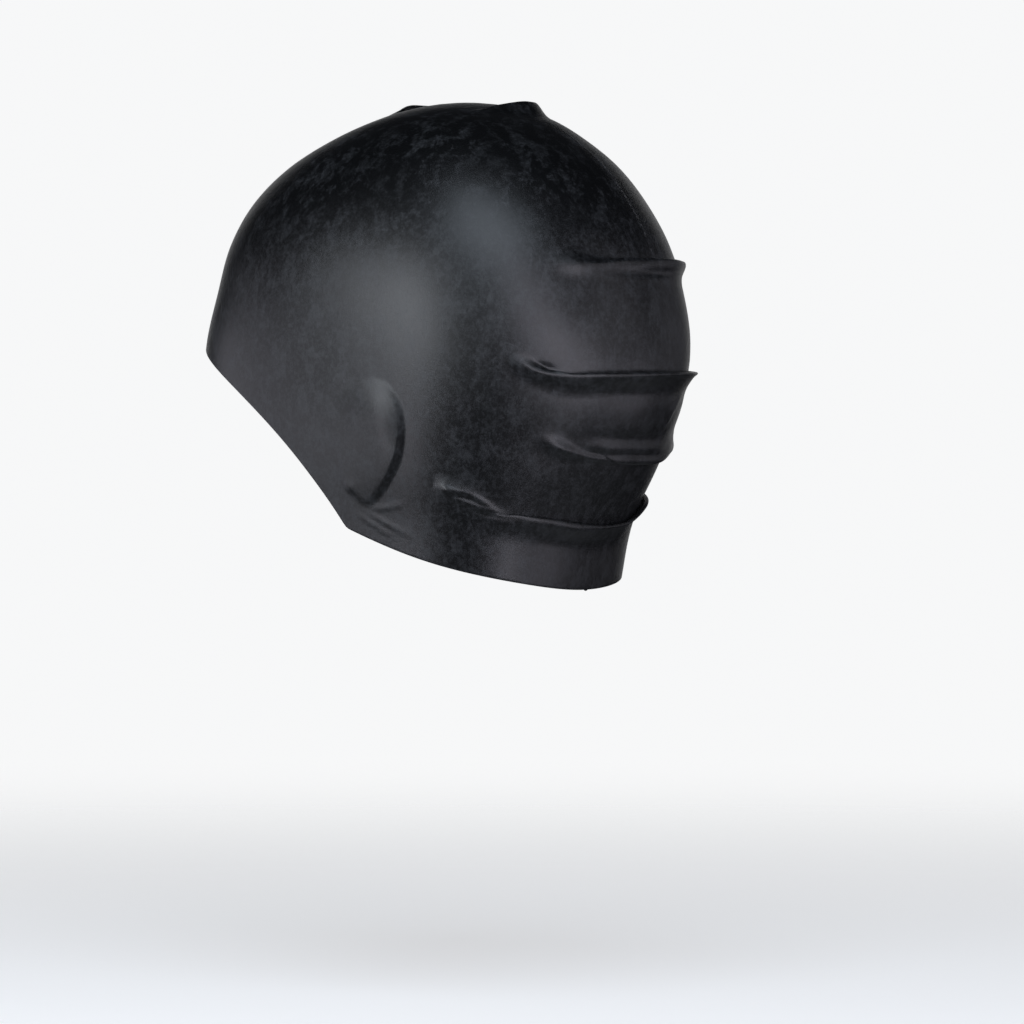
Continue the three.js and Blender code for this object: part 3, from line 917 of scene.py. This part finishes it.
# The room as the eye sees it, and as it lights the cap. The light up from the
# floor grows between two heights of the direction that it comes from.
STUDIO_WHITE = (0.93, 0.935, 0.94, 1)
ROOM_COLOUR = (0.86, 0.92, 1, 1)
ROOM_LIGHT = 0.006
FLOOR_LIGHT = 0.20
FLOOR_LIGHT_FROM = (-0.35, -0.75)


def make_world():
    """White to look at. What it gives the cap is a dark room with some light up from the floor."""
    world = bpy.data.worlds.new("studio")
    world.use_nodes = True
    tree = world.node_tree
    tree.nodes.clear()
    way = add(tree, "ShaderNodeTexCoord").outputs["Generated"]
    height = add(tree, "ShaderNodeSeparateXYZ", {0: way}).outputs["Z"]
    glow = remap(tree, height, *FLOOR_LIGHT_FROM, ROOM_LIGHT, FLOOR_LIGHT)
    seen = add(tree, "ShaderNodeLightPath").outputs["Is Camera Ray"]
    room = add(tree, "ShaderNodeBackground", {"Color": ROOM_COLOUR, "Strength": glow})
    white = add(tree, "ShaderNodeBackground", {"Color": STUDIO_WHITE, "Strength": 1.0})
    both = add(tree, "ShaderNodeMixShader", {0: seen})
    tree.links.new(room.outputs[0], both.inputs[1])
    tree.links.new(white.outputs[0], both.inputs[2])
    output = add(tree, "ShaderNodeOutputWorld")
    tree.links.new(both.outputs[0], output.inputs["Surface"])
    bpy.context.scene.world = world


# The floor's depth below the crown, radius, and the reach over which it fades, in
# metres, and its grey, which its own glow brings near the room's white
FLOOR_DEPTH = 0.36
FLOOR_RADIUS = 2.6
FLOOR_FADE = (0.25, 1.6)
FLOOR_POINTS = 96
FLOOR_GREY = (0.82, 0.82, 0.82, 1)
FLOOR_GLOW = 0.52


def make_floor():
    """A pale round floor below the cap that fades into the white round it."""
    rim = [(math.cos(a) * FLOOR_RADIUS, math.sin(a) * FLOOR_RADIUS, -FLOOR_DEPTH)
           for a in np.linspace(0, 2 * math.pi, FLOOR_POINTS, endpoint=False)]
    mesh = bpy.data.meshes.new("floor")
    mesh.from_pydata(rim, [], [tuple(range(len(rim)))])
    floor = bpy.data.objects.new("floor", mesh)
    bpy.context.scene.collection.objects.link(floor)
    material = bpy.data.materials.new("pale_floor")
    material.use_nodes = True
    tree = material.node_tree
    tree.nodes.clear()
    place = add(tree, "ShaderNodeTexCoord").outputs["Object"]
    flat = add(tree, "ShaderNodeVectorMath", {0: place, 1: (1, 1, 0)}, operation="MULTIPLY")
    away = add(tree, "ShaderNodeVectorMath", {0: flat.outputs[0]}, operation="LENGTH").outputs["Value"]
    fade = remap(tree, away, *FLOOR_FADE)
    matt = add(tree, "ShaderNodeBsdfDiffuse", {"Color": FLOOR_GREY})
    glow = add(tree, "ShaderNodeEmission", {"Color": STUDIO_WHITE, "Strength": FLOOR_GLOW})
    lit = add(tree, "ShaderNodeAddShader")
    tree.links.new(matt.outputs[0], lit.inputs[0])
    tree.links.new(glow.outputs[0], lit.inputs[1])
    clear = add(tree, "ShaderNodeBsdfTransparent")
    both = add(tree, "ShaderNodeMixShader", {0: fade})
    tree.links.new(lit.outputs[0], both.inputs[1])
    tree.links.new(clear.outputs[0], both.inputs[2])
    output = add(tree, "ShaderNodeOutputMaterial")
    tree.links.new(both.outputs[0], output.inputs["Surface"])
    mesh.materials.append(material)
    floor.visible_glossy = False
    floor.visible_diffuse = False


make_camera()
make_softboxes()
make_world()
make_floor()
bpy.context.scene.view_settings.view_transform = "Standard"

cap = make_cap()
paint_areas(cap)
cap.data.materials.append(rubber_material())
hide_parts("cap_shell")
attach(cap, "root")
